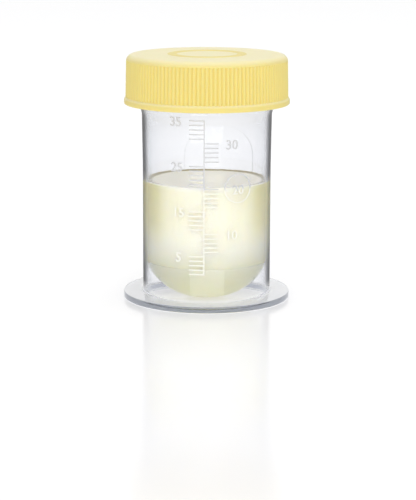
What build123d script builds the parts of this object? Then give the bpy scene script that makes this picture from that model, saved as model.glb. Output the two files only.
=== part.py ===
"""Specimen container: a clear moulded cup on a foot flange, its ribbed screw lid, and the liquid it holds.

Millimetres, +Z up. The origin is the centre of the foot's underside, and all three pieces share the Z axis.
"""
from build123d import *
from math import cos, pi, radians, sin, sqrt, tan
import os

# Cup: straight wall, a little wider towards the neck
WALL_OUTER_RADIUS = 17.25
WALL_THICKNESS = 0.95
WALL_TAPER_HEIGHT = 14.0
WALL_TAPER = 0.2
CUP_HEIGHT = 64.2

# Cup: foot flange, and the skirt that joins it to the wall
FOOT_LEDGE = 5.25
FOOT_THICKNESS = 1.8
FOOT_EDGE_BREAK = 0.3
SKIRT_THICKNESS = 0.8
SKIRT_ROOT_ROUND = 0.8

# Cup: bowl that hangs inside the skirt
BOWL_GROUND_CLEARANCE = 0.25
BOWL_FLOOR_THICKNESS = 1.65
BOWL_KNUCKLE_INSET = 1.75
BOWL_CROWN_RADIUS = 30.0
BOWL_SKIRT_ROUND = 0.1

# Cup: neck
NECK_HEIGHT = 11.4
NECK_STEP = 0.65
NECK_WALL = 1.4
NECK_SHOULDER_HEIGHT = 2.8
RIM_BREAK = 0.3

# Lid: shell
THREAD_ROOM = 1.8
LID_WALL = 1.55
LID_TOP_THICKNESS = 1.5
LID_BELOW_NECK = 0.15
LID_SEAT_GAP = 0.1
LID_DRAFT = 1.0
LID_SHOULDER_ROUND = 1.8
BEAD_HEIGHT = 1.75
BEAD_STAND_OUT = 0.4
BEAD_EDGE_BREAK = 0.3

# Lid: grip ribs, raised ring on the top, and the plug ring that goes inside the neck
RIB_COUNT = 122
RIB_DEPTH = 0.35
RIB_CREST = 0.4
RIB_TOP_MARGIN = 2.0
TOP_RING_RADIUS = 9.35
TOP_RING_WIDTH = 2.5
TOP_RING_HEIGHT = 0.15
PLUG_CLEARANCE = 0.15
PLUG_WALL = 1.0
PLUG_DEPTH = 3.0
PLUG_TIP_CHAMFER = 0.4

# Liquid
LIQUID_LEVEL = 32.0
LIQUID_WALL_GAP = 0.05
MENISCUS_RISE = 0.5
MENISCUS_REACH = 1.6

# Radii and heights worked out from the sizes above
foot_radius = WALL_OUTER_RADIUS + FOOT_LEDGE
skirt_inner_radius = WALL_OUTER_RADIUS - SKIRT_THICKNESS
wall_inner_radius = WALL_OUTER_RADIUS - WALL_THICKNESS
neck_outer_radius = WALL_OUTER_RADIUS + WALL_TAPER + NECK_STEP
neck_bore_radius = neck_outer_radius - NECK_WALL
neck_base = CUP_HEIGHT - NECK_HEIGHT
taper_top = neck_base - NECK_SHOULDER_HEIGHT
taper_base = taper_top - WALL_TAPER_HEIGHT
bowl_floor = BOWL_GROUND_CLEARANCE + BOWL_FLOOR_THICKNESS
bowl_centre = bowl_floor + wall_inner_radius
lid_bottom = neck_base - LID_BELOW_NECK
lid_underside = CUP_HEIGHT + LID_SEAT_GAP
lid_top = lid_underside + LID_TOP_THICKNESS
lid_bore_radius = neck_outer_radius + THREAD_ROOM
rib_root_radius = lid_bore_radius + LID_WALL
rib_crest_radius = rib_root_radius + RIB_DEPTH
bead_top = lid_bottom + BEAD_HEIGHT
rib_top = lid_top - RIB_TOP_MARGIN


def at(radius, height):
    """Point of a profile, in the X-Z half plane."""
    return Vector(radius, 0, height)


def path(*points):
    """Straight runs from point to point."""
    return [Line(start, end) for start, end in zip(points, points[1:])]


def turned(edges):
    """Solid made by turning a closed profile once round the Z axis."""
    return revolve(make_face(Wire(edges)), axis=Axis.Z)


def ring_edge(solid, radius, height):
    """Circular edge of the solid that lies nearest to a radius and height."""
    rings = solid.edges().filter_by(GeomType.CIRCLE)
    return min(rings, key=lambda ring: abs(ring.radius - radius) + abs(ring.center().Z - height))


def break_rings(solid, length, *places):
    """The solid with its circular edges at the given places chamfered."""
    return chamfer([ring_edge(solid, *place) for place in places], length)


def arc(centre, start, end):
    """Short arc about a centre, from one point of a profile to another."""
    radius = (start - centre).length
    middle = centre + ((start + end) * 0.5 - centre).normalized() * radius
    return ThreePointArc(start, middle, end)


def cup_envelope():
    """Outside of the cup, solid right through: foot, wall, shoulder and neck."""
    shoulder_start = at(WALL_OUTER_RADIUS + WALL_TAPER, taper_top)
    shoulder_end = at(neck_outer_radius, neck_base)
    up = (0, 0, 1)
    return turned([
        *path(
            at(0, 0),
            at(foot_radius, 0),
            at(foot_radius, FOOT_THICKNESS),
            at(WALL_OUTER_RADIUS, FOOT_THICKNESS),
            at(WALL_OUTER_RADIUS, taper_base),
            shoulder_start,
        ),
        Spline(shoulder_start, shoulder_end, tangents=[up, up]),
        *path(shoulder_end, at(neck_outer_radius, CUP_HEIGHT), at(0, CUP_HEIGHT), at(0, 0)),
    ])


def cup_cavity():
    """Space inside the cup: a round bowl, the wall's bore, and the wider bore of the neck."""
    bowl_side = at(wall_inner_radius * sin(pi / 4), bowl_centre - wall_inner_radius * cos(pi / 4))
    bore_start = at(wall_inner_radius, taper_top)
    bore_end = at(neck_bore_radius, neck_base + NECK_WALL)
    up = (0, 0, 1)
    return turned([
        ThreePointArc(at(0, bowl_floor), bowl_side, at(wall_inner_radius, bowl_centre)),
        Line(at(wall_inner_radius, bowl_centre), bore_start),
        Spline(bore_start, bore_end, tangents=[up, up]),
        *path(bore_end, at(neck_bore_radius, CUP_HEIGHT), at(0, CUP_HEIGHT), at(0, bowl_floor)),
    ])


def bowl_recess():
    """Space under the bowl, inside the skirt.

    The bowl is a flat crown with a tighter knuckle at the wall, and a small round joins it to the skirt.
    """
    knuckle_radius = WALL_OUTER_RADIUS - BOWL_KNUCKLE_INSET
    crown_axis = at(0, BOWL_GROUND_CLEARANCE + BOWL_CROWN_RADIUS)
    centre_distance = BOWL_CROWN_RADIUS - knuckle_radius
    knuckle_axis = crown_axis + at(BOWL_KNUCKLE_INSET, -sqrt(centre_distance**2 - BOWL_KNUCKLE_INSET**2))
    join = knuckle_axis + (knuckle_axis - crown_axis).normalized() * knuckle_radius

    round_distance = knuckle_radius + BOWL_SKIRT_ROUND
    round_reach = skirt_inner_radius - BOWL_SKIRT_ROUND - BOWL_KNUCKLE_INSET
    round_axis = knuckle_axis + at(round_reach, -sqrt(round_distance**2 - round_reach**2))
    round_start = knuckle_axis + (round_axis - knuckle_axis).normalized() * knuckle_radius
    round_end = at(skirt_inner_radius, round_axis.Z)

    bowl_bottom = at(0, BOWL_GROUND_CLEARANCE)
    return turned([
        arc(crown_axis, bowl_bottom, join),
        arc(knuckle_axis, join, round_start),
        arc(round_axis, round_start, round_end),
        *path(round_end, at(skirt_inner_radius, 0), at(0, 0), bowl_bottom),
    ])


def container_body():
    """The cup: one moulding with foot, skirt, hanging bowl, wall and neck."""
    cup = cup_envelope() - cup_cavity() - bowl_recess()
    foot_edges = ((foot_radius, 0), (foot_radius, FOOT_THICKNESS), (skirt_inner_radius, 0))
    rim_edges = ((neck_outer_radius, CUP_HEIGHT), (neck_bore_radius, CUP_HEIGHT))
    cup = break_rings(cup, FOOT_EDGE_BREAK, *foot_edges)
    cup = break_rings(cup, RIM_BREAK, *rim_edges)
    return fillet(ring_edge(cup, WALL_OUTER_RADIUS, FOOT_THICKNESS), SKIRT_ROOT_ROUND)


def lid_shell():
    """The lid before its ribs: drafted side, rounded shoulder, and a bead along the bottom edge."""
    draft_step = tan(radians(LID_DRAFT)) * (lid_top - bead_top)
    bead_radius = rib_crest_radius + BEAD_STAND_OUT
    bead_lip = bead_top - BEAD_STAND_OUT
    shell = turned(path(
        at(0, lid_bottom),
        at(bead_radius, lid_bottom),
        at(bead_radius, bead_lip),
        at(rib_crest_radius, bead_top),
        at(rib_crest_radius - draft_step, lid_top),
        at(0, lid_top),
        at(0, lid_bottom),
    ))
    shell = fillet(ring_edge(shell, rib_crest_radius - draft_step, lid_top), LID_SHOULDER_ROUND)
    shell = break_rings(shell, BEAD_EDGE_BREAK, (bead_radius, lid_bottom), (bead_radius, bead_lip))
    bore = Pos(0, 0, lid_bottom) * extrude(Circle(lid_bore_radius), lid_underside - lid_bottom)
    return shell - bore


def rib_grooves():
    """The grooves between the grip ribs, each a drafted trapezoid that opens outwards."""
    pitch = 2 * pi * rib_crest_radius / RIB_COUNT
    mouth = pitch - RIB_CREST
    floor = mouth / 3
    outside = 2 * BEAD_STAND_OUT
    widening = outside * (mouth - floor) / RIB_DEPTH
    section = Polygon(
        (rib_root_radius, -floor / 2),
        (rib_crest_radius + outside, -(mouth + widening) / 2),
        (rib_crest_radius + outside, (mouth + widening) / 2),
        (rib_root_radius, floor / 2),
        align=None,
    )
    draft = radians(LID_DRAFT)
    groove = extrude(section, (rib_top - bead_top) / cos(draft), dir=(-sin(draft), 0, cos(draft)))
    groove = Pos(0, 0, bead_top) * groove
    return [Rot(0, 0, 360 * index / RIB_COUNT) * groove for index in range(RIB_COUNT)]


def ring(outer_radius, inner_radius, bottom, top):
    """Plain ring on the Z axis."""
    return Pos(0, 0, bottom) * extrude(Circle(outer_radius) - Circle(inner_radius), top - bottom)


def screw_lid():
    """The lid: one moulding with ribs, bead, plug ring and a raised ring on its top."""
    plug_radius = neck_bore_radius - PLUG_CLEARANCE
    plug = ring(plug_radius, plug_radius - PLUG_WALL, lid_underside - PLUG_DEPTH, lid_underside)
    plug = break_rings(plug, PLUG_TIP_CHAMFER, (plug_radius, lid_underside - PLUG_DEPTH))
    ring_outer = TOP_RING_RADIUS + TOP_RING_WIDTH / 2
    ring_inner = TOP_RING_RADIUS - TOP_RING_WIDTH / 2
    top_ring = ring(ring_outer, ring_inner, lid_top, lid_top + TOP_RING_HEIGHT)
    return lid_shell() - rib_grooves() + plug + top_ring


def liquid_sample():
    """The liquid: it fills the bowl and the wall's bore up to its level, and climbs the wall a little."""
    radius = wall_inner_radius - LIQUID_WALL_GAP
    bowl_side = at(radius * sin(pi / 4), bowl_centre - radius * cos(pi / 4))
    bottom = at(0, bowl_centre - radius)
    wall_contact = at(radius, LIQUID_LEVEL + MENISCUS_RISE)
    level_edge = at(radius - MENISCUS_REACH, LIQUID_LEVEL)
    return turned([
        ThreePointArc(bottom, bowl_side, at(radius, bowl_centre)),
        Line(at(radius, bowl_centre), wall_contact),
        TangentArc(level_edge, wall_contact, tangent=(1, 0, 0)),
        *path(level_edge, at(0, LIQUID_LEVEL), bottom),
    ])


os.makedirs("parts", exist_ok=True)
for name, piece in {
    "container_body": container_body(),
    "screw_lid": screw_lid(),
    "liquid_sample": liquid_sample(),
}.items():
    export_step(piece, f"parts/{name}.step")
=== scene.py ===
"""Specimen container: a clear graduated cup on a foot flange, the milky liquid in it, and a ribbed screw lid.

Everything is in metres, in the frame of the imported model: +Z is the axis of all the pieces, and the cup's
volume scale faces -Y. Sizes below that are written with MM are millimetres.
"""
from math import atan2, ceil, cos, hypot, pi, radians, sin, sqrt, tan

import bmesh
import bpy
from mathutils import Matrix, Vector


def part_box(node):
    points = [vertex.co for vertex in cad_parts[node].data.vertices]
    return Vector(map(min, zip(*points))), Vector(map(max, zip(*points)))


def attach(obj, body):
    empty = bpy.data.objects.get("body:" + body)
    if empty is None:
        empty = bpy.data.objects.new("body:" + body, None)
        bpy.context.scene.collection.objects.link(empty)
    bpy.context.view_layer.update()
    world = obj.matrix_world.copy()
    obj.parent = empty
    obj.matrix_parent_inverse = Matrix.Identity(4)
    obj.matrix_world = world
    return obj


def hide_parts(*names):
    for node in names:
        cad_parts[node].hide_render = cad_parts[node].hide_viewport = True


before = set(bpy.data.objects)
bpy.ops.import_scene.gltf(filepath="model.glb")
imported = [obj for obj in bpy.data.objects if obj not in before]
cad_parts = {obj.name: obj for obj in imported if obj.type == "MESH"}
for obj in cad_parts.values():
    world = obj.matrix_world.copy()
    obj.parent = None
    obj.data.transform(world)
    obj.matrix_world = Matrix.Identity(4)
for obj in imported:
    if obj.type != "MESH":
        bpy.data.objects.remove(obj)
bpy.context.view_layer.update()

bl_info = {
    "name": "Specimen Container",
    "version": (1, 0, 0),
    "blender": (4, 5, 0),
    "location": "View3D > Sidebar > Container",
    "description": "Builds a graduated specimen cup, its liquid and its screw lid",
    "category": "Add Mesh",
}

MM = 0.001
CUP_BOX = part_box("container_body")
LID_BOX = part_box("screw_lid")

# Modelling: how fine the pieces are, and the small sizes that a user would not change. A plain number is a
# share of the size that it goes with. GROOVE_COLUMNS lists the columns of a rib that are set inward, with
# their share of its depth.
CUP_STEPS = 192
THREAD_STEPS = 72
COLUMNS_PER_RIB = 6
SHARP = radians(35)
SAME_PLACE = 0.001 * MM
NEARBY = 0.01 * MM
LIP_ROUND = 0.3 * MM
NECK_ROUND = 1.2 * MM
RING_ROUND = 0.06 * MM
PLUG_ROUND = 0.4 * MM
PLUG_LIP = 0.2 * MM
BEAD_BAND = 0.15 * MM
GROOVE_COLUMNS = (((0,), 1.0), ((1, 5), 0.6))
NORMAL_REACH = 0.02 * MM
THREAD_ROOT = 0.2 * MM
THREAD_CREST = 0.45
THREAD_FADE = 1 / 8
THREAD_TIP = 0.1
LID_THREAD_DEPTH = 0.9
LID_THREAD_TURNS = 1.0
RELIEF_ROOT = 0.15 * MM
DIGIT_SHARE = 0.7
PANEL_FOOT = 0.3
PANEL_LINE = 0.7
BEND_COLUMN = 0.7 * MM
BEND_ROW = 0.5 * MM
BEND_SHIFT = 0.003 * MM
MARK_VALUE = 5
MARKS = (5, 10, 15, 20, 25, 30, 35)
RINGED_MARK = 20
MARK_PLACES = tuple(place * MM for place in (-7.6, 6.7, -7.6, 8.6, -8.1, 6.7, -8.35))

# Stage: lamps as name, place, width, height and power
IMAGE_SIZE = (416, 500)
SENSOR = 36.0
FOCAL_PIXELS = 1832.3
CAMERA_PLACE = (0.00041, -0.48885, 0.11308)
CAMERA_PITCH = 0.20304
CAMERA_ROLL = radians(0.17)
TARGET = (0, 0, 0.035)
FLOOR_SIZE = 12
FLOOR_GAP = 0.02 * MM
LAMPS = (
    ("key_lamp", (0.02, -0.92, 0.42), 1.25, 0.75, 6.3),
    ("top_lamp", (0.05, 0.1, 0.9), 1.0, 1.0, 5.2),
)

# Finishes: from where to where each mask of a material fades in, as heights, radii, depths or slopes
# Painted highlight: the slope at which the lid's faces start to be painted paler, as if lit from above
PAINTED_TOPLIGHT_SLOPE = (0.15, 0.95)
RING_SHADE = (0.02 * MM, 0.12 * MM)
BOWL_SHADE = (13 * MM, 22 * MM)
WALL_SLOPE = (0.5, 0.1)
WALL_START = (2 * MM, 5 * MM)
WALL_OUTSIDE = (16.6 * MM, 17.0 * MM)
BRIM_SLOPE = (0.95, 0.3)
BRIM_OUTSIDE = (22.0 * MM, 22.2 * MM)
GLANCING = (0.5, 0.75)
DEEP_LAYER = (15 * MM, 2 * MM)
# Depth of the painted light on the liquid's top
PAINTED_LIGHT_LAYER = 1.0 * MM
# Where the painted shade on the meniscus fades in
MENISCUS_FADE = (0.01 * MM, 0.12 * MM)
MENISCUS_PLACE = (16.3 * MM, 16.2 * MM)
SCALE_BLUR = 0.5 * MM
CLOSENESS = (0.95, 0.35)
# Reach of the short rays that find where the painted highlights and the painted shade go
HIGHLIGHT_REACH = 0.35 * MM
SHADE_REACH = 1.2 * MM
RIM_DULLING = 0.5
CLEAR_SHARE = (0.985, 0.986, 0.988)
PLASTIC_IOR = 1.49
LIQUID_IOR = 1.35
FLOOR_IOR = 1.45

# Painted shade on the clear wall, from face on to edge on, where the cup is empty and where it is filled
EMPTY_RIM_PAINTED_SHADE = (
    (0.0, (1.0, 1.0, 1.0)), (0.3, (0.91, 0.91, 0.92)), (0.46, (0.80, 0.81, 0.83)),
    (0.55, (0.66, 0.67, 0.70)), (0.61, (0.52, 0.53, 0.56)), (0.65, (0.40, 0.41, 0.44)),
    (0.70, (0.28, 0.29, 0.32)), (0.80, (0.10, 0.10, 0.12)),
)
FILLED_RIM_PAINTED_SHADE = (
    (0.0, (1.0, 1.0, 1.0)), (0.2, (0.93, 0.92, 0.79)), (0.365, (0.65, 0.62, 0.34)),
    (0.45, (0.56, 0.52, 0.23)), (0.53, (0.49, 0.45, 0.20)), (0.60, (0.44, 0.40, 0.17)),
    (0.68, (0.39, 0.36, 0.155)), (0.79, (0.20, 0.19, 0.10)),
)


# Sizes and colours that a user would change


def length(name, description, millimetres):
    return bpy.props.FloatProperty(
        name=name, description=description, default=millimetres * MM, unit="LENGTH", precision=5
    )


def angle(name, description, degrees):
    return bpy.props.FloatProperty(
        name=name, description=description, default=radians(degrees), subtype="ANGLE"
    )


def number(name, description, default):
    return bpy.props.FloatProperty(name=name, description=description, default=default)


def colour(name, description, default):
    return bpy.props.FloatVectorProperty(
        name=name, description=description, default=default, size=3, subtype="COLOR", min=0, max=1
    )


class CupSettings(bpy.types.PropertyGroup):
    wall_radius: length("Wall radius", "Outer radius of the straight wall", 17.25)
    wall: length("Wall", "Thickness of the straight wall", 0.95)
    wall_taper: length("Wall taper", "How much wider the wall is at the neck's shoulder", 0.2)
    taper_base: length("Taper base", "Height at which the wall starts to widen", 36.0)
    shoulder_base: length("Shoulder base", "Height at which the neck's shoulder starts", 50.0)
    neck_base: length("Neck base", "Height at which the neck is straight", 52.8)
    neck_radius: length("Neck radius", "Outer radius of the neck", 18.1)
    neck_wall: length("Neck wall", "Thickness of the neck", 1.4)
    foot: length("Foot", "Thickness of the foot flange", 1.8)
    foot_round: length("Foot rounding", "Rounding of the flange's edges", 0.3)
    skirt: length("Skirt", "Thickness of the skirt below the bowl", 0.8)
    root_round: length("Root rounding", "Rounding between skirt and flange", 0.8)
    bowl_clearance: length("Bowl clearance", "Height of the bowl's underside", 0.25)
    bowl_floor: length("Bowl floor", "Thickness of the bowl at the middle", 1.65)
    knuckle_inset: length("Knuckle inset", "Distance of the knuckle's centre from the axis", 1.75)
    crown_radius: length("Crown radius", "Outer radius of the bowl's crown", 30.0)
    crotch_round: length("Crotch rounding", "Rounding between bowl and skirt", 0.1)


class LidSettings(bpy.types.PropertyGroup):
    ribs: bpy.props.IntProperty(name="Ribs", description="Grip ribs round the lid", default=122, min=12)
    rib_depth: length("Rib depth", "Depth of the grooves between the ribs", 0.35)
    rib_margin: length("Rib margin", "Plain band between the ribs and the top", 1.6)
    side_radius: length("Side radius", "Radius over the ribs, just above the bead", 21.8)
    draft: angle("Draft", "Slope of the lid's side", 1.0)
    shoulder: length("Shoulder", "Rounding of the top edge", 1.8)
    top: length("Top", "Thickness of the lid's top", 1.5)
    ring_radius: length("Ring radius", "Radius of the raised ring on the top", 9.35)
    ring_width: length("Ring width", "Width of the raised ring", 2.5)
    ring_height: length("Ring height", "Height of the raised ring", 0.15)
    bead: length("Bead", "Height of the bead along the bottom edge", 1.75)
    bore_radius: length("Bore radius", "Inner radius of the lid's side", 19.9)
    plug_radius: length("Plug radius", "Outer radius of the plug ring", 16.55)
    plug_wall: length("Plug wall", "Thickness of the plug ring", 1.0)
    plug_depth: length("Plug depth", "Depth of the plug ring", 3.0)


class ThreadSettings(bpy.types.PropertyGroup):
    pitch: length("Pitch", "Rise of the thread in one turn", 4.2)
    turns: number("Turns", "Length of the thread in turns", 1.3)
    depth: length("Depth", "How far the thread stands out", 1.1)
    width: length("Width", "Width of the thread at its root", 1.7)
    first: length("First", "Height at which the neck's thread starts", 55.2)


class LiquidSettings(bpy.types.PropertyGroup):
    level: length("Level", "Height of the liquid's surface", 32.0)
    meniscus_rise: length("Meniscus rise", "How far the liquid climbs the wall", 0.42)
    meniscus_reach: length("Meniscus reach", "Width of the rising edge", 2.4)
    wetting: length("Wetting", "How far the liquid's skin lies inside the wall", 0.03)
    tint: colour("Tint", "Colour of the liquid", (0.965, 0.93, 0.81))
    deep_tint: colour("Deep tint", "Colour of the liquid at the bottom of the bowl", (1.0, 0.93, 0.54))
    # Painted light: the paler colour of the liquid's top millimetre, which stands in for light on its surface
    top_tint: colour("Top tint", "Colour of the liquid's fattier top layer", (1.0, 0.99, 0.89))
    # Painted shade: the dark colour on the meniscus, where the liquid climbs the wall
    edge_tint: colour("Edge tint", "Colour of the liquid's thin edge", (0.34, 0.30, 0.17))


class ScaleSettings(bpy.types.PropertyGroup):
    relief: length("Relief", "How far the scale stands out of the wall", 0.14)
    first_mark: length("First mark", "Height of the 5 ml mark", 14.1)
    mark_step: length("Mark step", "Height between two 5 ml marks", 6.0)
    spine: length("Spine", "Place of the scale's upright line", -0.67)
    line: length("Line", "Width of the scale's lines", 0.3)
    tick_right: length("Right tick", "Length of the ticks on the right", 3.6)
    tick_left: length("Left tick", "Length of the ticks on the left, as a step to the left", -3.8)
    digit: length("Digit", "Height of the digits", 2.45)
    digit_weight: length("Digit weight", "How much bolder the digits' strokes are on each side", 0.035)
    digit_drop: length("Digit drop", "How far the digits sit below their mark", 0.5)
    mark_ring: length("Mark ring", "Outer radius of the ring round the middle mark", 3.95)
    panel_half: length("Panel half", "Half the width of the writing panel", 10.9)
    panel_top: length("Panel top", "Height of the panel's arched top", 46.2)
    panel_side: length("Panel side", "Height at which the panel's sides are straight", 36.8)
    panel_base: length("Panel base", "Height of the panel's lower edge", 12.0)
    panel_turn: angle("Panel turn", "Turn of the panel from the middle of the far side", 14.0)


class FinishSettings(bpy.types.PropertyGroup):
    lid: colour("Lid", "Colour of the lid", (0.78, 0.66, 0.235))
    # Painted highlight: the paler colour on the lid's edges and rib crests
    lid_edge: colour("Lid edge", "Colour of the lid's edges and rib crests", (0.79, 0.70, 0.35))
    # Painted highlight: the paler colour of the lid's top, which stands in for the light from above
    lid_top: colour("Lid top", "Colour of the lid's paler, handled top", (0.82, 0.755, 0.47))
    lid_glow: colour("Lid glow", "Share of the lamps' light that the lid lets through", (0.78, 0.76, 0.68))
    # Painted shade: the darker, deeper yellow in the lid's grooves
    lid_hollow: colour("Lid hollow", "Colour in the lid's grooves", (0.72, 0.55, 0.12))
    plastic: colour("Plastic", "Tint of the clear plastic", (0.96, 0.963, 0.97))
    scale: colour("Scale", "Colour of the scale's matt top", (0.60, 0.60, 0.61))
    # Painted light: the paler colour of the scale in front of the liquid, which stands in for the liquid's
    # light coming through it
    wet_scale: colour("Wet scale", "Colour of the scale in front of the liquid", (0.89, 0.875, 0.795))
    foot: colour("Foot", "Colour of the matt underside of the foot", (0.95, 0.95, 0.95))
    # Painted shade: the dark grey-blue colour on the foot's upright edge
    brim: colour("Brim", "Tint of the foot's upright edge", (0.22, 0.24, 0.29))
    haze: colour("Haze", "What the plastic's depth lets through", (0.55, 0.60, 0.72))
    haze_density: number("Haze density", "Absorption in the plastic, per metre", 30.0)
    floor: colour("Floor", "Colour of the floor", (0.70, 0.70, 0.72))
    floor_glow: number("Floor glow", "Lifts the floor to white", 0.26)
    floor_light: number("Floor light", "What the floor throws back up at the object", 0.58)
    world: number("World", "Strength of the even light", 0.35)


GROUPS = {
    "container_cup": CupSettings,
    "container_lid": LidSettings,
    "container_thread": ThreadSettings,
    "container_liquid": LiquidSettings,
    "container_scale": ScaleSettings,
    "container_finish": FinishSettings,
}


def settings(name):
    return getattr(bpy.context.scene, name)


# Modelling by hand, in edit mode


def begin(name, add, **where):
    """Adds a primitive with nothing else selected, names it and enters edit mode on its vertices."""
    bpy.ops.object.select_all(action="DESELECT")
    add(**where)
    piece = bpy.context.object
    piece.name = name
    piece.data.name = name
    bpy.context.tool_settings.mesh_select_mode = (True, False, False)
    bpy.ops.object.mode_set(mode="EDIT")


def pick_all():
    bpy.ops.mesh.select_all(action="SELECT")


def face_outwards():
    """Turns all the faces of a closed shape outwards."""
    pick_all()
    bpy.ops.mesh.normals_make_consistent(inside=False)


def merge_doubles():
    pick_all()
    bpy.ops.mesh.remove_doubles(threshold=SAME_PLACE)


def pick(test, kind="VERT"):
    """Selects the vertices, edges or faces whose middle passes a test."""
    bpy.ops.mesh.select_all(action="DESELECT")
    bpy.ops.mesh.select_mode(type=kind)
    mesh = bmesh.from_edit_mesh(bpy.context.object.data)
    place = bpy.context.object.matrix_world
    for part in {"VERT": mesh.verts, "EDGE": mesh.edges, "FACE": mesh.faces}[kind]:
        corners = [part] if kind == "VERT" else part.verts
        middle = sum((corner.co for corner in corners), Vector()) / len(corners)
        if test(place @ middle):
            part.select_set(True)
    mesh.select_flush_mode()
    bmesh.update_edit_mesh(bpy.context.object.data)


def settle():
    """Leaves edit mode and puts the piece's place in its mesh."""
    bpy.ops.object.mode_set(mode="OBJECT")
    bpy.ops.object.transform_apply(location=True, rotation=True, scale=True)
    return bpy.context.object


def choose(*pieces):
    """Selects only these pieces and makes the first one active."""
    bpy.ops.object.select_all(action="DESELECT")
    for piece in pieces:
        piece.select_set(True)
    bpy.context.view_layer.objects.active = pieces[0]


def apply_modifiers(piece):
    choose(piece)
    for modifier in list(piece.modifiers):
        bpy.ops.object.modifier_apply(modifier=modifier.name)


def fuse(piece, *additions):
    """Unites pieces into the first one, as one moulding."""
    for addition in additions:
        union = piece.modifiers.new("fuse", "BOOLEAN")
        union.operation = "UNION"
        union.solver = "EXACT"
        union.object = addition
    apply_modifiers(piece)
    for addition in additions:
        bpy.data.objects.remove(addition)


class Outline:
    """A line in the X-Z half plane, drawn vertex by vertex, then turned round the Z axis."""

    def __init__(self, name, radius, height):
        begin(name, bpy.ops.mesh.primitive_plane_add, size=MM, location=(radius, 0, height))
        bpy.ops.mesh.merge(type="CENTER")
        self.end = Vector((radius, 0, height))
        self.corners = []

    def line(self, radius, height, rounding=0, segments=4):
        """Draws on to a point. A rounding is kept for the corner that the point becomes."""
        target = Vector((radius, 0, height))
        bpy.ops.mesh.extrude_region_move(TRANSFORM_OT_translate={"value": target - self.end})
        self.end = target
        if rounding:
            self.corners.append((target, rounding, segments))

    def arc(self, centre_radius, centre_height, radius, height, steps):
        """Draws on round a centre to a point, the short way."""
        centre = Vector((centre_radius, 0, centre_height))
        target = Vector((radius, 0, height))
        before = self.end - centre
        after = target - centre
        sweep = atan2(after.z, after.x) - atan2(before.z, before.x)
        sweep = (sweep + pi) % (2 * pi) - pi
        bpy.ops.mesh.spin(steps=steps, angle=sweep, center=centre, axis=(0, 1, 0))
        self.end = target

    def turn(self, steps):
        """Rounds the kept corners and turns the line all the way round into a closed skin."""
        for corner, rounding, segments in self.corners:
            pick(lambda point: (point - corner).length < SAME_PLACE)
            bpy.ops.mesh.bevel(offset=rounding, segments=segments, affect="VERTICES")
        pick_all()
        bpy.ops.mesh.spin(steps=steps, angle=2 * pi, center=(0, 0, 0), axis=(0, 0, 1))
        merge_doubles()
        face_outwards()


# The cup


def bowl_arcs(cup):
    """Centres and joins of the arcs that make the bowl's underside."""
    knuckle_radius = cup.wall_radius - cup.knuckle_inset
    crown_height = cup.bowl_clearance + cup.crown_radius
    rise = sqrt((cup.crown_radius - knuckle_radius) ** 2 - cup.knuckle_inset**2)
    knuckle_height = crown_height - rise
    share = cup.crown_radius / (cup.crown_radius - knuckle_radius)
    join = (share * cup.knuckle_inset, crown_height - share * rise)
    reach = cup.wall_radius - cup.skirt - cup.crotch_round - cup.knuckle_inset
    drop = sqrt((knuckle_radius + cup.crotch_round) ** 2 - reach**2)
    touch = knuckle_radius / (knuckle_radius + cup.crotch_round)
    crotch = (cup.knuckle_inset + touch * reach, knuckle_height - touch * drop)
    return crown_height, knuckle_height, join, crotch, knuckle_height - drop


def draw_cup(cup):
    """The moulding without its thread and scale: bowl's underside, skirt, foot, wall, neck, bore, bowl."""
    top = CUP_BOX[1].z
    crown_height, knuckle_height, join, crotch, round_height = bowl_arcs(cup)
    skirt_radius = cup.wall_radius - cup.skirt
    bore = cup.wall_radius - cup.wall
    neck_bore = cup.neck_radius - cup.neck_wall
    bowl_height = cup.bowl_clearance + cup.bowl_floor + bore
    line = Outline("clear_cup", 0, cup.bowl_clearance)
    line.arc(0, crown_height, *join, steps=4)
    line.arc(cup.knuckle_inset, knuckle_height, *crotch, steps=16)
    line.arc(skirt_radius - cup.crotch_round, round_height, skirt_radius, round_height, steps=4)
    line.line(skirt_radius, 0, rounding=cup.foot_round)
    line.line(CUP_BOX[1].x, 0, rounding=cup.foot_round)
    line.line(CUP_BOX[1].x, cup.foot, rounding=cup.foot_round)
    line.line(cup.wall_radius, cup.foot, rounding=cup.root_round, segments=6)
    line.line(cup.wall_radius, cup.taper_base)
    line.line(cup.wall_radius + cup.wall_taper, cup.shoulder_base)
    line.line(cup.neck_radius, cup.neck_base, rounding=NECK_ROUND)
    line.line(cup.neck_radius, top, rounding=LIP_ROUND)
    line.line(neck_bore, top, rounding=LIP_ROUND)
    line.line(neck_bore, cup.neck_base + cup.neck_wall, rounding=NECK_ROUND)
    line.line(bore, cup.shoulder_base, rounding=NECK_ROUND)
    line.line(bore, bowl_height)
    line.arc(0, bowl_height, 0, bowl_height - bore, steps=24)
    line.turn(CUP_STEPS)
    return settle()


def helix(name, ridge, root, crest, start, turns):
    """A helical ridge on a wall, swept section by section. Both ends fade into the wall."""
    half = ridge.width / 2
    section = Outline(name, root, start - half)
    section.line(crest, start - half * THREAD_CREST)
    section.line(crest, start + half * THREAD_CREST)
    section.line(root, start + half)
    pick_all()
    bpy.ops.mesh.edge_face_add()
    steps = round(turns * THREAD_STEPS)
    step_angle = 2 * pi / THREAD_STEPS
    fade = THREAD_STEPS * THREAD_FADE
    share = 1
    for step in range(steps + 1):
        wanted = max(THREAD_TIP, min(1, step / fade, (steps - step) / fade))
        bpy.ops.transform.resize(
            value=(wanted / share, wanted / share, 1),
            center_override=(root * cos(step * step_angle), root * sin(step * step_angle), start),
        )
        share = wanted
        if step < steps:
            rise = (0, 0, ridge.pitch / THREAD_STEPS)
            bpy.ops.mesh.extrude_region_move(TRANSFORM_OT_translate={"value": rise})
            bpy.ops.transform.rotate(value=-step_angle, orient_axis="Z", center_override=(0, 0, 0))
    face_outwards()
    return settle()


# The raised scale, drawn flat in the X-Z plane and then bent round the wall


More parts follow.
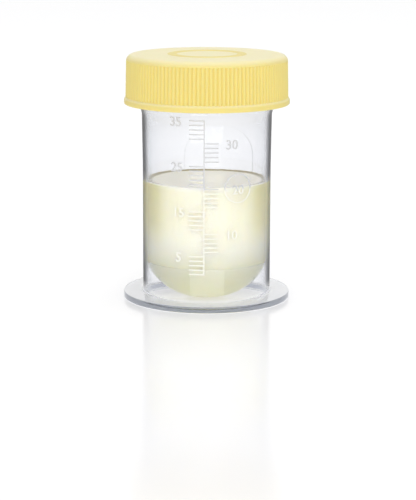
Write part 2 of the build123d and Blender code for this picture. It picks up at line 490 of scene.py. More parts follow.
def wall_radius(cup, height):
    """Outer radius of the cup's wall at a height."""
    if height < cup.taper_base:
        return cup.wall_radius
    if height < cup.shoulder_base:
        share = (height - cup.taper_base) / (cup.shoulder_base - cup.taper_base)
        return cup.wall_radius + share * cup.wall_taper
    share = (height - cup.shoulder_base) / (cup.neck_base - cup.shoulder_base)
    start = cup.wall_radius + cup.wall_taper
    return start + share * (cup.neck_radius - start)


def thicken(scale):
    """Gives a flat drawing its depth: from inside the wall to the height of its relief."""
    pick_all()
    bpy.ops.transform.translate(value=(0, RELIEF_ROOT, 0))
    bpy.ops.mesh.extrude_region_move(
        TRANSFORM_OT_translate={"value": (0, -RELIEF_ROOT - scale.relief, 0)}
    )
    face_outwards()


def draw_comb(scale):
    """The upright line with its 1 ml ticks, which change sides at every 5 ml mark."""
    step = scale.mark_step / MARK_VALUE
    ticks = [
        (scale.first_mark + (mark - MARKS[0]) * step, "right" if (mark - 1) // MARK_VALUE % 2 else "left")
        for mark in range(1, MARKS[-1] + 1)
    ]
    bottom = scale.first_mark - (MARKS[0] - 1) * step - scale.line
    top = scale.first_mark + (MARKS[-1] - MARKS[0]) * step + scale.line / 2
    left = scale.spine - scale.line / 2
    right = scale.spine + scale.line / 2
    begin(
        "scale_comb", bpy.ops.mesh.primitive_plane_add, size=1,
        location=(scale.spine, 0, (bottom + top) / 2), rotation=(pi / 2, 0, 0),
    )
    bpy.ops.transform.resize(value=(scale.line, 1, top - bottom))
    for height, _ in ticks:
        for edge in (height - scale.line / 2, height + scale.line / 2):
            if bottom < edge < top:
                pick_all()
                bpy.ops.mesh.bisect(plane_co=(0, 0, edge), plane_no=(0, 0, 1))
    for side, place, reach in (("right", right, scale.tick_right), ("left", left, scale.tick_left)):
        heights = [height for height, where in ticks if where == side]
        pick(
            lambda point: abs(point.x - place) < NEARBY
            and min(abs(point.z - height) for height in heights) < scale.line / 4,
            "EDGE",
        )
        bpy.ops.mesh.extrude_edges_move(TRANSFORM_OT_translate={"value": (reach, 0, 0)})
    thicken(scale)
    return settle()


def draw_number(scale, text, place, height):
    """Digits in the scale's own height, with their middle at a place along the wall."""
    bpy.ops.object.select_all(action="DESELECT")
    bpy.ops.object.text_add(rotation=(pi / 2, 0, 0))
    digits = bpy.context.object
    digits.name = "scale_" + text
    digits.data.body = text
    digits.data.size = scale.digit / DIGIT_SHARE
    digits.data.offset = scale.digit_weight
    digits.data.align_x = "CENTER"
    digits.data.align_y = "CENTER"
    digits.data.resolution_u = 3
    digits.data.extrude = (RELIEF_ROOT + scale.relief) / 2
    bpy.ops.object.convert(target="MESH")
    digits.location = (place, (RELIEF_ROOT - scale.relief) / 2, height)
    bpy.ops.object.transform_apply(location=True, rotation=True, scale=True)
    bpy.ops.object.mode_set(mode="EDIT")
    merge_doubles()
    face_outwards()
    return settle()


def draw_mark_ring(scale, place, height):
    """The plain ring round the middle mark."""
    begin(
        "scale_ring", bpy.ops.mesh.primitive_circle_add, vertices=48, radius=scale.mark_ring,
        location=(place, 0, height), rotation=(pi / 2, 0, 0),
    )
    pick_all()
    bpy.ops.mesh.extrude_edges_move()
    share = 1 - scale.line / scale.mark_ring
    bpy.ops.transform.resize(value=(share, share, share), center_override=(place, 0, height))
    thicken(scale)
    return settle()


def draw_panel(scale):
    """The arched outline of the writing panel on the far side of the cup."""
    begin(
        "scale_panel", bpy.ops.mesh.primitive_circle_add, vertices=64, radius=scale.panel_half,
        fill_type="NGON", location=(0, 0, scale.panel_side), rotation=(pi / 2, 0, 0),
    )
    pick(lambda point: point.z > scale.panel_side + NEARBY)
    rise = (scale.panel_top - scale.panel_side) / scale.panel_half
    bpy.ops.transform.resize(value=(1, 1, rise), center_override=(0, 0, scale.panel_side))
    pick(lambda point: point.z < scale.panel_side - NEARBY)
    bpy.ops.transform.resize(value=(1, 1, PANEL_FOOT), center_override=(0, 0, scale.panel_side))
    drop = scale.panel_side - scale.panel_half * PANEL_FOOT - scale.panel_base
    bpy.ops.transform.translate(value=(0, 0, -drop))
    pick_all()
    bpy.ops.mesh.inset(thickness=scale.line * PANEL_LINE)
    bpy.ops.mesh.delete(type="FACE")
    thicken(scale)
    return settle()


def bend_round(relief, cup):
    """Cuts a flat relief into narrow columns, sets it to the wall's taper and bends it round the wall."""
    choose(relief)
    low = min(vert.co.x for vert in relief.data.vertices)
    high = max(vert.co.x for vert in relief.data.vertices)
    top = max(vert.co.z for vert in relief.data.vertices)
    bpy.ops.object.mode_set(mode="EDIT")
    columns = ceil((high - low) / BEND_COLUMN)
    for column in range(1, columns):
        pick_all()
        place = low + (high - low) * column / columns + BEND_SHIFT
        bpy.ops.mesh.bisect(plane_co=(place, 0, 0), plane_no=(1, 0, 0))
    for row in range(ceil((top - cup.taper_base) / BEND_ROW) + 1):
        height = cup.taper_base + row * BEND_ROW
        pick(lambda point: abs(point.z - height) <= BEND_ROW / 2)
        bpy.ops.transform.translate(value=(0, cup.wall_radius - wall_radius(cup, height), 0))
    bpy.ops.object.mode_set(mode="OBJECT")
    bend = relief.modifiers.new("bend", "SIMPLE_DEFORM")
    bend.deform_method = "BEND"
    bend.deform_axis = "Z"
    bend.angle = relief.dimensions.x / cup.wall_radius
    apply_modifiers(relief)
    relief.location = (0, -cup.wall_radius, 0)
    bpy.ops.object.transform_apply(location=True)


def draw_scale(scale, cup):
    """The whole raised scale on the near side, and the panel's outline on the far side."""
    parts = [draw_comb(scale)]
    for mark, place in zip(MARKS, MARK_PLACES):
        height = scale.first_mark + (mark - MARKS[0]) / MARK_VALUE * scale.mark_step
        parts.append(draw_number(scale, str(mark), place, height - scale.digit_drop))
        if mark == RINGED_MARK:
            parts.append(draw_mark_ring(scale, place, height))
    choose(*parts)
    bpy.ops.object.join()
    front = parts[0]
    bend_round(front, cup)
    back = draw_panel(scale)
    bend_round(back, cup)
    back.rotation_euler = (0, 0, pi - scale.panel_turn)
    bpy.ops.object.transform_apply(rotation=True)
    return front, back


def keep_normals(piece, plain):
    """Gives a fused piece the smooth shading of its plain form, where it still has that form's surface."""
    for form in (plain, piece):
        choose(form)
        bpy.ops.object.shade_smooth_by_angle(angle=SHARP)
    copy = piece.modifiers.new("normals", "DATA_TRANSFER")
    copy.object = plain
    copy.use_loop_data = True
    copy.data_types_loops = {"CUSTOM_NORMAL"}
    copy.loop_mapping = "POLYINTERP_NEAREST"
    copy.use_max_distance = True
    copy.max_distance = NORMAL_REACH
    apply_modifiers(piece)
    bpy.data.objects.remove(plain)


def frost_relief(piece, cup):
    """Gives the matt materials to the faces standing out of the wall's near side and to the foot's underside.
    """
    scale_low = 8 * MM
    scale_high = cup.neck_base - 0.5 * MM
    proud = 0.03 * MM
    foot_low = 0.02 * MM
    choose(piece)
    bpy.ops.object.mode_set(mode="EDIT")
    pick(
        lambda point: point.y < 0 and scale_low < point.z < scale_high
        and hypot(point.x, point.y) > wall_radius(cup, point.z) + proud,
        "FACE",
    )
    piece.active_material_index = 1
    bpy.ops.object.material_slot_assign()
    pick(lambda point: point.z < foot_low and hypot(point.x, point.y) > cup.wall_radius - cup.skirt, "FACE")
    piece.active_material_index = 2
    bpy.ops.object.material_slot_assign()
    bpy.ops.object.mode_set(mode="OBJECT")


# The lid


def draw_lid(lid):
    """The lid without its thread: raised ring, shoulder, ribbed side, bead, bore and plug ring."""
    top = LID_BOX[1].z - lid.ring_height
    bottom = LID_BOX[0].z
    underside = top - lid.top
    bead_top = bottom + lid.bead
    bead_radius = LID_BOX[1].x
    slope = tan(lid.draft)

    def side(height):
        return lid.side_radius - slope * (height - bead_top)

    rib_top = top - lid.rib_margin
    shoulder = side(top) - lid.shoulder
    inner_ring = lid.ring_radius - lid.ring_width / 2
    outer_ring = lid.ring_radius + lid.ring_width / 2
    line = Outline("ribbed_lid", 0, top)
    line.line(inner_ring, top)
    line.line(inner_ring + lid.ring_height, top + lid.ring_height, rounding=RING_ROUND, segments=2)
    line.line(outer_ring - lid.ring_height, top + lid.ring_height, rounding=RING_ROUND, segments=2)
    line.line(outer_ring, top)
    line.line(shoulder, top)
    line.arc(shoulder, top - lid.shoulder, side(top), top - lid.shoulder, steps=10)
    for height in (bead_top + BEAD_BAND, bead_top):
        line.line(side(height), height)
    line.line(bead_radius, bead_top - (bead_radius - lid.side_radius), rounding=LIP_ROUND)
    line.line(bead_radius, bottom, rounding=LIP_ROUND)
    line.line(lid.bore_radius, bottom, rounding=LIP_ROUND)
    line.line(lid.bore_radius, underside, rounding=LIP_ROUND)
    line.line(lid.plug_radius, underside)
    line.line(lid.plug_radius, underside - lid.plug_depth, rounding=PLUG_ROUND)
    line.line(lid.plug_radius - lid.plug_wall, underside - lid.plug_depth, rounding=PLUG_LIP)
    line.line(lid.plug_radius - lid.plug_wall, underside, rounding=LIP_ROUND)
    line.line(0, underside)
    steps = lid.ribs * COLUMNS_PER_RIB
    line.turn(steps)
    column = 2 * pi / steps
    for places, share in GROOVE_COLUMNS:
        pick(
            lambda point: bead_top + 0.1 * MM < point.z < rib_top
            and hypot(point.x, point.y) > lid.bore_radius + MM
            and round(atan2(point.y, point.x) / column) % COLUMNS_PER_RIB in places
        )
        inward = 1 - share * lid.rib_depth / lid.side_radius
        bpy.ops.transform.resize(value=(inward, inward, 1), center_override=(0, 0, 0))
    return settle()


# The liquid


def draw_liquid(liquid, cup):
    """The liquid fills the bowl, wets the wall and climbs it in a meniscus."""
    radius = cup.wall_radius - cup.wall + liquid.wetting
    bowl_height = cup.bowl_clearance + cup.bowl_floor + cup.wall_radius - cup.wall
    edge = liquid.level + liquid.meniscus_rise
    shore = radius - liquid.meniscus_reach
    curve = (liquid.meniscus_reach**2 + liquid.meniscus_rise**2) / (2 * liquid.meniscus_rise)
    line = Outline("milk_sample", 0, bowl_height - radius)
    line.arc(0, bowl_height, radius, bowl_height, steps=24)
    line.line(radius, edge)
    line.arc(shore, liquid.level + curve, shore, liquid.level, steps=10)
    line.line(0, liquid.level)
    line.turn(CUP_STEPS)
    return settle()


# Materials


class Nodes:
    """Adds, sets and joins the nodes of one material or node group."""

    def __init__(self, tree):
        self.tree = tree

    def feed(self, socket, value):
        """Sets an input to a value, or joins another node's output to it."""
        if isinstance(value, bpy.types.NodeSocket):
            self.tree.links.new(value, socket)
        else:
            socket.default_value = value

    def add(self, kind, place, **values):
        """Adds a node. Values with the name of an input feed it, and the others set a property."""
        node = self.tree.nodes.new(kind)
        node.location = place
        for name, value in values.items():
            named = [socket for socket in node.inputs if socket.name.lower().replace(" ", "_") == name]
            if named:
                self.feed(named[0], value)
            else:
                setattr(node, name, value)
        return node

    def group(self, tree, place, **values):
        """Places a node group and returns its outputs."""
        return self.add("ShaderNodeGroup", place, node_tree=tree, **values).outputs

    def split(self, source, place):
        """The X, Y and Z outputs of a position or direction."""
        return self.add("ShaderNodeSeparateXYZ", place, vector=source).outputs

    def maths(self, operation, place, *values):
        """One sum of numbers and other nodes' outputs."""
        node = self.add("ShaderNodeMath", place, operation=operation)
        for socket, value in zip(node.inputs, values):
            self.feed(socket, value)
        return node.outputs[0]

    def span(self, source, place, low, high):
        """Maps a value from low..high to 0..1, clamped."""
        node = self.add("ShaderNodeMapRange", place, value=source, from_min=low, from_max=high)
        return node.outputs["Result"]

    def between(self, mask, place, low, high):
        """Maps a mask from 0..1 to low..high."""
        node = self.add("ShaderNodeMapRange", place, value=mask, to_min=low, to_max=high)
        return node.outputs["Result"]

    def blend(self, place, factor, below, above, **options):
        """Mixes two colours, each given as a colour with its alpha or as another node's output."""
        node = self.add("ShaderNodeMix", place, data_type="RGBA", factor=factor, **options)
        self.feed(node.inputs[6], below)
        self.feed(node.inputs[7], above)
        return node.outputs[2]

    def noise(self, source, place, scale, detail, roughness, **options):
        options = {"scale": scale, "detail": detail, "roughness": roughness, **options}
        node = self.add("ShaderNodeTexNoise", place, vector=source, **options)
        return node.outputs["Fac"]

    def ramp(self, source, place, *stops):
        """A colour ramp with (position, colour) stops."""
        node = self.add("ShaderNodeValToRGB", place, fac=source)
        elements = node.color_ramp.elements
        while len(elements) < len(stops):
            elements.new(0.5)
        for element, (position, stop_colour) in zip(elements, stops):
            element.position = position
            element.color = (*stop_colour, 1)
        return node.outputs["Color"]


def new_material(name):
    material = bpy.data.materials.new(name)
    material.use_nodes = True
    material.node_tree.nodes.clear()
    nodes = Nodes(material.node_tree)
    output = nodes.add("ShaderNodeOutputMaterial", (900, 0))
    return material, nodes, output


def new_group(name, inputs, outputs):
    """An empty node group with named sockets: inputs as (name, kind, default), outputs as (name, kind)."""
    tree = bpy.data.node_groups.new(name, "ShaderNodeTree")
    for socket_name, kind, default in inputs:
        socket = tree.interface.new_socket(
            name=socket_name, in_out="INPUT", socket_type="NodeSocket" + kind
        )
        socket.default_value = default
    for socket_name, kind in outputs:
        tree.interface.new_socket(name=socket_name, in_out="OUTPUT", socket_type="NodeSocket" + kind)
    nodes = Nodes(tree)
    start = nodes.add("NodeGroupInput", (-1000, 0))
    end = nodes.add("NodeGroupOutput", (800, 0))
    return nodes, start.outputs, end.inputs


def moulded_surface():
    """Node group: soft flow mottling of a colour, an uneven polish, and the fine grain of a mould."""
    if "moulded_surface" in bpy.data.node_groups:
        return bpy.data.node_groups["moulded_surface"]
    nodes, start, end = new_group(
        "moulded_surface",
        (
            ("Colour", "Color", (0.8, 0.8, 0.8, 1)),
            ("Flow Colour", "Color", (0.7, 0.7, 0.7, 1)),
            ("Flow", "Float", 0.3),
            ("Flow Scale", "Float", 60.0),
            ("Roughness", "Float", 0.35),
            ("Polish Spread", "Float", 0.1),
            ("Grain Scale", "Float", 2500.0),
        ),
        (("Colour", "Color"), ("Roughness", "Float"), ("Grain", "Float")),
    )
    place = nodes.add("ShaderNodeTexCoord", (-1000, -400)).outputs["Object"]
    flow = nodes.noise(place, (-700, 200), start["Flow Scale"], 3.0, 0.55, distortion=0.6)
    share = nodes.maths("MULTIPLY", (-450, 200), flow, start["Flow"])
    mottled = nodes.blend((-200, 200), share, start["Colour"], start["Flow Colour"])
    polish = nodes.noise(place, (-700, -100), 900.0, 4.0, 0.6)
    centred = nodes.maths("SUBTRACT", (-450, -100), polish, 0.5)
    uneven = nodes.maths("MULTIPLY_ADD", (-200, -100), centred, start["Polish Spread"], start["Roughness"])
    nodes.feed(end["Colour"], mottled)
    nodes.feed(end["Roughness"], uneven)
    nodes.feed(end["Grain"], nodes.noise(place, (-700, -400), start["Grain Scale"], 2.0, 0.5))
    return nodes.tree


def edges_and_hollows():
    """Node group: painted highlights on thin edges and painted shade in hollows, found by short rays in and
    out.
    """
    if "edges_and_hollows" in bpy.data.node_groups:
        return bpy.data.node_groups["edges_and_hollows"]
    nodes, start, end = new_group(
        "edges_and_hollows",
        (
            ("Colour", "Color", (0.8, 0.8, 0.8, 1)),
            ("Edge Colour", "Color", (0.9, 0.9, 0.9, 1)),
            ("Hollow Colour", "Color", (0.4, 0.4, 0.4, 1)),
            ("Edge", "Float", 0.5),
            ("Hollow", "Float", 0.5),
        ),
        (("Colour", "Color"),),
    )
    tint = start["Colour"]
    # Painted shade in hollows and painted highlights on thin edges, where the short rays find the surface
    # close by
    rays = (("Hollow", False, SHADE_REACH), ("Edge", True, HIGHLIGHT_REACH))
    for row, (name, inside, reach) in enumerate(rays):
        near = nodes.add(
            "ShaderNodeAmbientOcclusion", (-1000, 300 * row), samples=6, inside=inside, only_local=True,
            distance=reach,
        )
        found = nodes.span(near.outputs["AO"], (-750, 300 * row), *CLOSENESS)
        mask = nodes.maths("MULTIPLY", (-500, 300 * row), found, start[name])
        tint = nodes.blend((300 * row, 0), mask, tint, start[name + " Colour"])
    nodes.feed(end["Colour"], tint)
    return nodes.tree


def shade(colour_value, factor=1):
    """A colour with its alpha, made lighter or darker by a factor."""
    return (*(min(1, channel * factor) for channel in colour_value), 1)


def moulded_shader(nodes, surface, base, strength, depth, **values):
    """The shader of a moulded surface, with its polish, and with its grain at a strength and depth."""
    height = surface["Grain"]
    bump = nodes.add("ShaderNodeBump", (-50, -200), strength=strength, distance=depth, height=height)
    values = {"roughness": surface["Roughness"], "normal": bump.outputs["Normal"], **values}
    return nodes.add("ShaderNodeBsdfPrincipled", (200, 0), base_color=base, **values)


def let_light_through(nodes, output, shader, share):
    """Lets a share of the lamps' light through a shader, for each surface that it crosses."""
    lamp_ray = nodes.add("ShaderNodeLightPath", (100, 500)).outputs["Is Shadow Ray"]
    passing = nodes.add("ShaderNodeBsdfTransparent", (100, -400), color=shade(share))
    mixed = nodes.add("ShaderNodeMixShader", (550, 0), fac=lamp_ray)
    nodes.feed(mixed.inputs[1], shader.outputs[0])
    nodes.feed(mixed.inputs[2], passing.outputs[0])
    nodes.feed(output.inputs["Surface"], mixed.outputs[0])


def axis_distance(nodes, position, place):
    """The distance from the pieces' common axis, from a split position."""
    across, down = place
    squares = nodes.maths("MULTIPLY", place, position["X"], position["X"])
    total = nodes.maths("MULTIPLY_ADD", (across + 150, down), position["Y"], position["Y"], squares)
    return nodes.maths("SQRT", (across + 300, down), total)


def lid_plastic(finish):
    """Satin yellow moulding: uneven polish; painted highlights on the top and crests, painted shade in
    grooves.
    """
    material, nodes, output = new_material("yellow_plastic")
    surface = nodes.group(
        moulded_surface(), (-800, 200), colour=shade(finish.lid), flow_colour=shade(finish.lid, 0.86),
        flow=0.35, flow_scale=90.0, roughness=0.42, polish_spread=0.16, grain_scale=3200.0,
    )
    place = nodes.add("ShaderNodeTexCoord", (-1400, -100)).outputs
    direction = nodes.split(place["Normal"], (-1200, -100))
    position = nodes.split(place["Object"], (-1200, -300))
    # Painted highlight: faces that turn up, below the raised ring's top, are painted paler, standing in for
    # the light from above
    upward = nodes.span(direction["Z"], (-1000, -100), *PAINTED_TOPLIGHT_SLOPE)
    below_ring = nodes.span(position["Z"], (-1000, -300), *(LID_BOX[1].z - depth for depth in RING_SHADE))
    painted_toplight = nodes.maths("MULTIPLY", (-800, -200), upward, below_ring)
    top = nodes.blend((-500, 0), painted_toplight, surface["Colour"], shade(finish.lid_top))
    # Painted highlights on the crests and edges, painted shade in the grooves
    edges = nodes.group(
        edges_and_hollows(), (-250, 200), colour=top, edge_colour=shade(finish.lid_edge),
        hollow_colour=shade(finish.lid_hollow), edge=0.45, hollow=0.55,
    )
    shader = moulded_shader(
        nodes, surface, edges["Colour"], 0.08, 0.05 * MM, ior=PLASTIC_IOR, specular_ior_level=0.1,
        subsurface_weight=0.25, subsurface_radius=(1.0, 0.7, 0.25), subsurface_scale=1.2 * MM,
    )
    let_light_through(nodes, output, shader, finish.lid_glow)
    return material


def clear_plastic(finish, level):
    """Clear moulding: painted shade where its wall and brim are seen edge on, with a bluish depth.

    Beside the liquid, which reaches up to level, the painted shade at the wall's edges takes on the liquid's
    colour.
    """
    material, nodes, output = new_material("clear_plastic")
    surface = nodes.group(
        moulded_surface(), (-900, 200), colour=shade(finish.plastic), flow_colour=shade(finish.plastic, 0.98),
        flow=0.4, flow_scale=45.0, roughness=0.035, polish_spread=0.03, grain_scale=700.0,
    )
    facing = nodes.add("ShaderNodeLayerWeight", (-1500, 700), blend=0.5).outputs["Facing"]
    place = nodes.add("ShaderNodeTexCoord", (-1800, 100)).outputs
    position = nodes.split(place["Object"], (-1600, 200))
    radius = axis_distance(nodes, position, (-1400, -300))
    flat = nodes.maths("ABSOLUTE", (-1400, 0), nodes.split(place["Normal"], (-1600, 0))["Z"])
    top = CUP_BOX[1].z
    beside_liquid = nodes.ramp(
        nodes.span(position["Z"], (-1400, 200), 0, top), (-1200, 200),
        *((height / top, (share,) * 3) for height, share in (
            (BOWL_SHADE[0], 0), (BOWL_SHADE[1], 0.8), (level + 0.1 * MM, 1), (level + 0.4 * MM, 0),
        )),
    )
    # Painted shade: the wall darkens as it turns edge on, standing in for dark surroundings seen through it,
    # and beside the liquid for the liquid's own shade at its edges
    empty = nodes.ramp(facing, (-1250, 800), *EMPTY_RIM_PAINTED_SHADE)
    filled = nodes.ramp(facing, (-1250, 500), *FILLED_RIM_PAINTED_SHADE)
    rim_painted_shade = nodes.blend((-900, 500), beside_liquid, empty, filled)
    upright = nodes.span(flat, (-1200, 0), *WALL_SLOPE)
    above_foot = nodes.span(position["Z"], (-1200, -200), *WALL_START)
    wall = nodes.maths("MULTIPLY", (-900, 0), upright, above_foot)
    outside = nodes.maths("MULTIPLY", (-700, 0), wall, nodes.span(radius, (-900, -300), *WALL_OUTSIDE))
    tint = nodes.blend((-500, 300), outside, surface["Colour"], rim_painted_shade, blend_type="MULTIPLY")
    # Painted shade on the foot's upright edge
    brim_side = nodes.span(flat, (-900, -500), *BRIM_SLOPE)
    brim_place = nodes.span(radius, (-900, -700), *BRIM_OUTSIDE)
    brim = nodes.maths("MULTIPLY", (-700, -300), brim_side, brim_place)
    tint = nodes.blend((-300, 300), brim, tint, shade(finish.brim), blend_type="MULTIPLY")
    glancing = nodes.maths("MULTIPLY", (-500, -100), nodes.span(facing, (-700, -100), *GLANCING), outside)
    dulled = nodes.maths("MULTIPLY_ADD", (-300, -100), glancing, RIM_DULLING, surface["Roughness"])
    shader = moulded_shader(
        nodes, surface, tint, 0.05, 0.1 * MM, roughness=dulled, ior=PLASTIC_IOR, transmission_weight=1.0
    )
    let_light_through(nodes, output, shader, CLEAR_SHARE)
    depth = nodes.add(
        "ShaderNodeVolumeAbsorption", (550, -300), color=shade(finish.haze), density=finish.haze_density
    )
    nodes.feed(output.inputs["Volume"], depth.outputs[0])
    return material


def raised_scale(finish, level):
    """The scale's matt, opaque tops: greyish above the liquid's level, painted light in front of the liquid.
    """
    material, nodes, output = new_material("raised_scale")
    place = nodes.add("ShaderNodeTexCoord", (-1500, 300)).outputs["Object"]
    height = nodes.split(place, (-1300, 300))["Z"]
    # Painted light: in front of the liquid the scale is painted paler
    in_front_of_liquid = nodes.span(height, (-1100, 300), level + SCALE_BLUR, level - SCALE_BLUR)
    tints = [
        nodes.blend((-850, 300), in_front_of_liquid, shade(finish.scale, factor), shade(finish.wet_scale, factor))
        for factor in (1.0, 0.93)
    ]
    surface = nodes.group(
        moulded_surface(), (-600, 200), colour=tints[0], flow_colour=tints[1], flow=0.5, flow_scale=300.0,
        roughness=0.42, polish_spread=0.2, grain_scale=4000.0,
    )
    shader = moulded_shader(nodes, surface, surface["Colour"], 0.2, 0.03 * MM)
    nodes.feed(output.inputs["Surface"], shader.outputs[0])
    return material


def matt_foot(finish):
    """The mould's matt texture under the foot, which scatters light up through the flange."""
    material, nodes, output = new_material("matt_foot")
    surface = nodes.group(
        moulded_surface(), (-600, 200), colour=shade(finish.foot), flow_colour=shade(finish.foot, 0.95),
        flow=0.4, flow_scale=80.0, roughness=0.6, polish_spread=0.2, grain_scale=2500.0,
    )
    shader = moulded_shader(nodes, surface, surface["Colour"], 0.3, 0.05 * MM)
    nodes.feed(output.inputs["Surface"], shader.outputs[0])
    return material


def milky_liquid(liquid):
    """Milky liquid: scatters softly, yellower below, painted light on top and painted shade where it climbs
    the wall.
    """
    material, nodes, output = new_material("milky_liquid")
    surface = nodes.group(
        moulded_surface(), (-900, 200), colour=shade(liquid.tint), flow_colour=shade(liquid.tint, 0.93),
        flow=0.5, flow_scale=70.0, roughness=0.15, polish_spread=0.06, grain_scale=1500.0,
    )
    place = nodes.add("ShaderNodeTexCoord", (-1400, -200)).outputs["Object"]
    position = nodes.split(place, (-1200, -200))
    height = position["Z"]
    level = liquid.level
    rise = nodes.span(height, (-700, -200), *(level + step for step in MENISCUS_FADE))
    beside_wall = nodes.span(axis_distance(nodes, position, (-1100, -400)), (-700, -400), *MENISCUS_PLACE)
    tint = surface["Colour"]
    for mask, next_tint_or_painted_light in (
        (nodes.span(height, (-700, 500), *DEEP_LAYER), liquid.deep_tint),
        # Painted light on the liquid's top
        (nodes.span(height, (-700, 700), level - PAINTED_LIGHT_LAYER, level), liquid.top_tint),
        # Painted shade on the meniscus
        (nodes.maths("MULTIPLY", (-500, -200), rise, beside_wall), liquid.edge_tint),
    ):
        tint = nodes.blend((-300, 200), mask, tint, shade(next_tint_or_painted_light))
    shader = moulded_shader(
        nodes, surface, tint, 0.03, 0.1 * MM, ior=LIQUID_IOR, subsurface_weight=0.85,
        subsurface_radius=(1.0, 0.9, 0.65), subsurface_scale=2.0 * MM,
    )
    nodes.feed(output.inputs["Surface"], shader.outputs[0])
    return material


def seen_as_backdrop(nodes, place):
    """A mask of the rays from the eye that met nothing matt: direct, mirrored or refracted ones."""
    across, down = place
    ray = nodes.add("ShaderNodeLightPath", place).outputs
    either = nodes.maths("MAXIMUM", (across + 200, down), ray["Is Camera Ray"], ray["Is Glossy Ray"])
    every = nodes.maths("MAXIMUM", (across + 400, down), either, ray["Is Transmission Ray"])
    direct = nodes.maths("LESS_THAN", (across + 400, down - 200), ray["Diffuse Depth"], 0.5)
    return nodes.maths("MULTIPLY", (across + 600, down), every, direct)


def studio_floor(finish):
    """Pale polished floor with a glow of its own, weaker for the eye so that the object's shadow shows."""
    material, nodes, output = new_material("studio_floor")
    surface = nodes.group(
        moulded_surface(), (-600, 200), colour=shade(finish.floor), flow_colour=shade(finish.floor, 0.99),
        flow=0.3, flow_scale=4.0, roughness=0.16, polish_spread=0.04, grain_scale=400.0,
    )
    shader = nodes.add(
        "ShaderNodeBsdfPrincipled", (0, 0), ior=FLOOR_IOR, base_color=surface["Colour"],
        roughness=surface["Roughness"],
    )
    eye = seen_as_backdrop(nodes, (-900, -400))
    strength = nodes.between(eye, (50, -300), finish.floor_light, finish.floor_glow)
    glow = nodes.add("ShaderNodeEmission", (300, -300), strength=strength)
    both = nodes.add("ShaderNodeAddShader", (600, 0))
    nodes.feed(both.inputs[0], shader.outputs[0])
    nodes.feed(both.inputs[1], glow.outputs[0])
    nodes.feed(output.inputs["Surface"], both.outputs[0])
    return material


def paint(piece, material):
    piece.data.materials.clear()
    piece.data.materials.append(material)


# Operators


class CONTAINER_OT_cup(bpy.types.Operator):
    """Add the clear cup: its wall, bowl, skirt, foot, neck thread, raised scale and panel outline"""

    bl_idname = "container.cup"
    bl_label = "Clear Cup"

    def execute(self, context):
        cup = settings("container_cup")
        ridge = settings("container_thread")
        piece = draw_cup(cup)
        neck = helix(
            "neck_thread", ridge, cup.neck_radius - THREAD_ROOT, cup.neck_radius + ridge.depth,
            ridge.first, ridge.turns,
        )
        front, back = draw_scale(settings("container_scale"), cup)
        choose(piece)
        bpy.ops.object.duplicate()
        plain = bpy.context.object
        fuse(piece, neck, front, back)
        keep_normals(piece, plain)
        finish = settings("container_finish")
        level = settings("container_liquid").level
        paint(piece, clear_plastic(finish, level))
        piece.data.materials.append(raised_scale(finish, level))
        piece.data.materials.append(matt_foot(finish))
        frost_relief(piece, cup)
        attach(piece, "container")
        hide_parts("container_body")
        return {"FINISHED"}


class CONTAINER_OT_liquid(bpy.types.Operator):
    """Add the milky liquid that fills the bowl and climbs the wall in a meniscus"""

    bl_idname = "container.liquid"
    bl_label = "Milky Liquid"

    def execute(self, context):
        liquid = settings("container_liquid")
        piece = draw_liquid(liquid, settings("container_cup"))
        bpy.ops.object.shade_smooth_by_angle(angle=SHARP)
        paint(piece, milky_liquid(liquid))
        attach(piece, "container")
        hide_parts("liquid_sample")
        return {"FINISHED"}


class CONTAINER_OT_lid(bpy.types.Operator):
    """Add the ribbed screw lid with its bead, raised ring, plug ring and inner thread"""

    bl_idname = "container.lid"
    bl_label = "Ribbed Lid"

    def execute(self, context):
        lid = settings("container_lid")
        ridge = settings("container_thread")
        piece = draw_lid(lid)
        inner = helix(
            "lid_thread", ridge, lid.bore_radius + THREAD_ROOT,
            lid.bore_radius - ridge.depth * LID_THREAD_DEPTH, ridge.first + ridge.pitch / 2, LID_THREAD_TURNS,
        )
        fuse(piece, inner)
        bpy.ops.object.shade_smooth_by_angle(angle=SHARP)
        paint(piece, lid_plastic(settings("container_finish")))
        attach(piece, "lid")
        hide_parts("screw_lid")
        return {"FINISHED"}


class CONTAINER_OT_stage(bpy.types.Operator):
    """Add the pale floor, the white surroundings, the studio lights and the camera"""

    bl_idname = "container.stage"
    bl_label = "Studio Stage"

    def execute(self, context):
        finish = settings("container_finish")
        begin("floor", bpy.ops.mesh.primitive_plane_add, size=FLOOR_SIZE, location=(0, 0, -FLOOR_GAP))
        floor = settle()
        floor.data.materials.append(studio_floor(finish))
        add_world(finish)
        for lamp in LAMPS:
            add_lamp(*lamp)
        add_camera()
        context.scene.view_settings.view_transform = "Standard"
        return {"FINISHED"}


def add_world(finish):
    """White surroundings for the eye and for reflections, and a moderate even light on the object."""
    world = bpy.data.worlds.new("studio")
    world.use_nodes = True
    world.node_tree.nodes.clear()
    nodes = Nodes(world.node_tree)
    output = nodes.add("ShaderNodeOutputWorld", (600, 0))
    strength = nodes.between(seen_as_backdrop(nodes, (-900, 0)), (50, 0), finish.world, 1.0)
    light = nodes.add("ShaderNodeBackground", (300, 0), color=(1, 1, 1, 1), strength=strength)
    nodes.feed(output.inputs["Surface"], light.outputs[0])
    bpy.context.scene.world = world


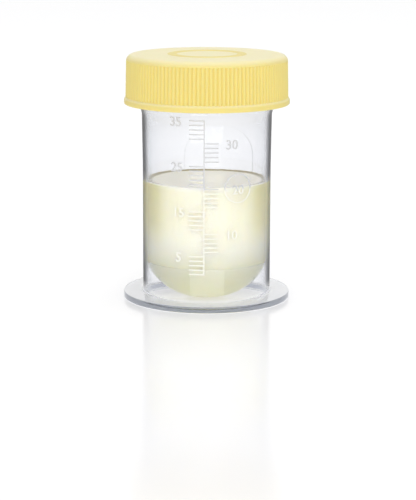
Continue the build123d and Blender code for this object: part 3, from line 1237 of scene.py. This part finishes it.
def add_lamp(name, place, width, height, power):
    """An area lamp aimed at the middle of the object, and left out of glossy reflections."""
    data = bpy.data.lights.new(name, "AREA")
    data.energy = power
    data.shape = "RECTANGLE"
    data.size = width
    data.size_y = height
    lamp = bpy.data.objects.new(name, data)
    lamp.location = place
    lamp.rotation_euler = (Vector(TARGET) - Vector(place)).to_track_quat("-Z", "Y").to_euler()
    lamp.visible_glossy = False
    bpy.context.collection.objects.link(lamp)


def add_camera():
    data = bpy.data.cameras.new("camera")
    data.sensor_fit = "VERTICAL"
    data.sensor_width = data.sensor_height = SENSOR
    data.lens = FOCAL_PIXELS * SENSOR / IMAGE_SIZE[1]
    data.clip_start = 0.01
    camera = bpy.data.objects.new("camera", data)
    camera.location = CAMERA_PLACE
    camera.rotation_mode = "XYZ"
    look = Vector((0, cos(CAMERA_PITCH), -sin(CAMERA_PITCH)))
    turn = look.to_track_quat("-Z", "Y").to_matrix() @ Matrix.Rotation(CAMERA_ROLL, 3, "Z")
    camera.rotation_euler = turn.to_euler()
    bpy.context.collection.objects.link(camera)
    bpy.context.scene.camera = camera


class CONTAINER_PT_panel(bpy.types.Panel):
    """Lists the pieces of the specimen container and their settings"""

    bl_idname = "CONTAINER_PT_panel"
    bl_label = "Specimen Container"
    bl_space_type = "VIEW_3D"
    bl_region_type = "UI"
    bl_category = "Container"

    def draw(self, context):
        for operator in OPERATORS:
            self.layout.operator(operator.bl_idname)
        for name, group in GROUPS.items():
            box = self.layout.box()
            box.label(text=group.bl_rna.name)
            for field in group.__annotations__:
                box.prop(getattr(context.scene, name), field)


OPERATORS = (CONTAINER_OT_cup, CONTAINER_OT_liquid, CONTAINER_OT_lid, CONTAINER_OT_stage)
CLASSES = (*GROUPS.values(), *OPERATORS, CONTAINER_PT_panel)


def register():
    for item in CLASSES:
        bpy.utils.register_class(item)
    for name, group in GROUPS.items():
        setattr(bpy.types.Scene, name, bpy.props.PointerProperty(type=group))


def unregister():
    for name in GROUPS:
        delattr(bpy.types.Scene, name)
    for item in reversed(CLASSES):
        bpy.utils.unregister_class(item)


def main():
    register()
    bpy.ops.container.cup()
    bpy.ops.container.liquid()
    bpy.ops.container.lid()
    bpy.ops.container.stage()


if __name__ == "__main__":
    main()
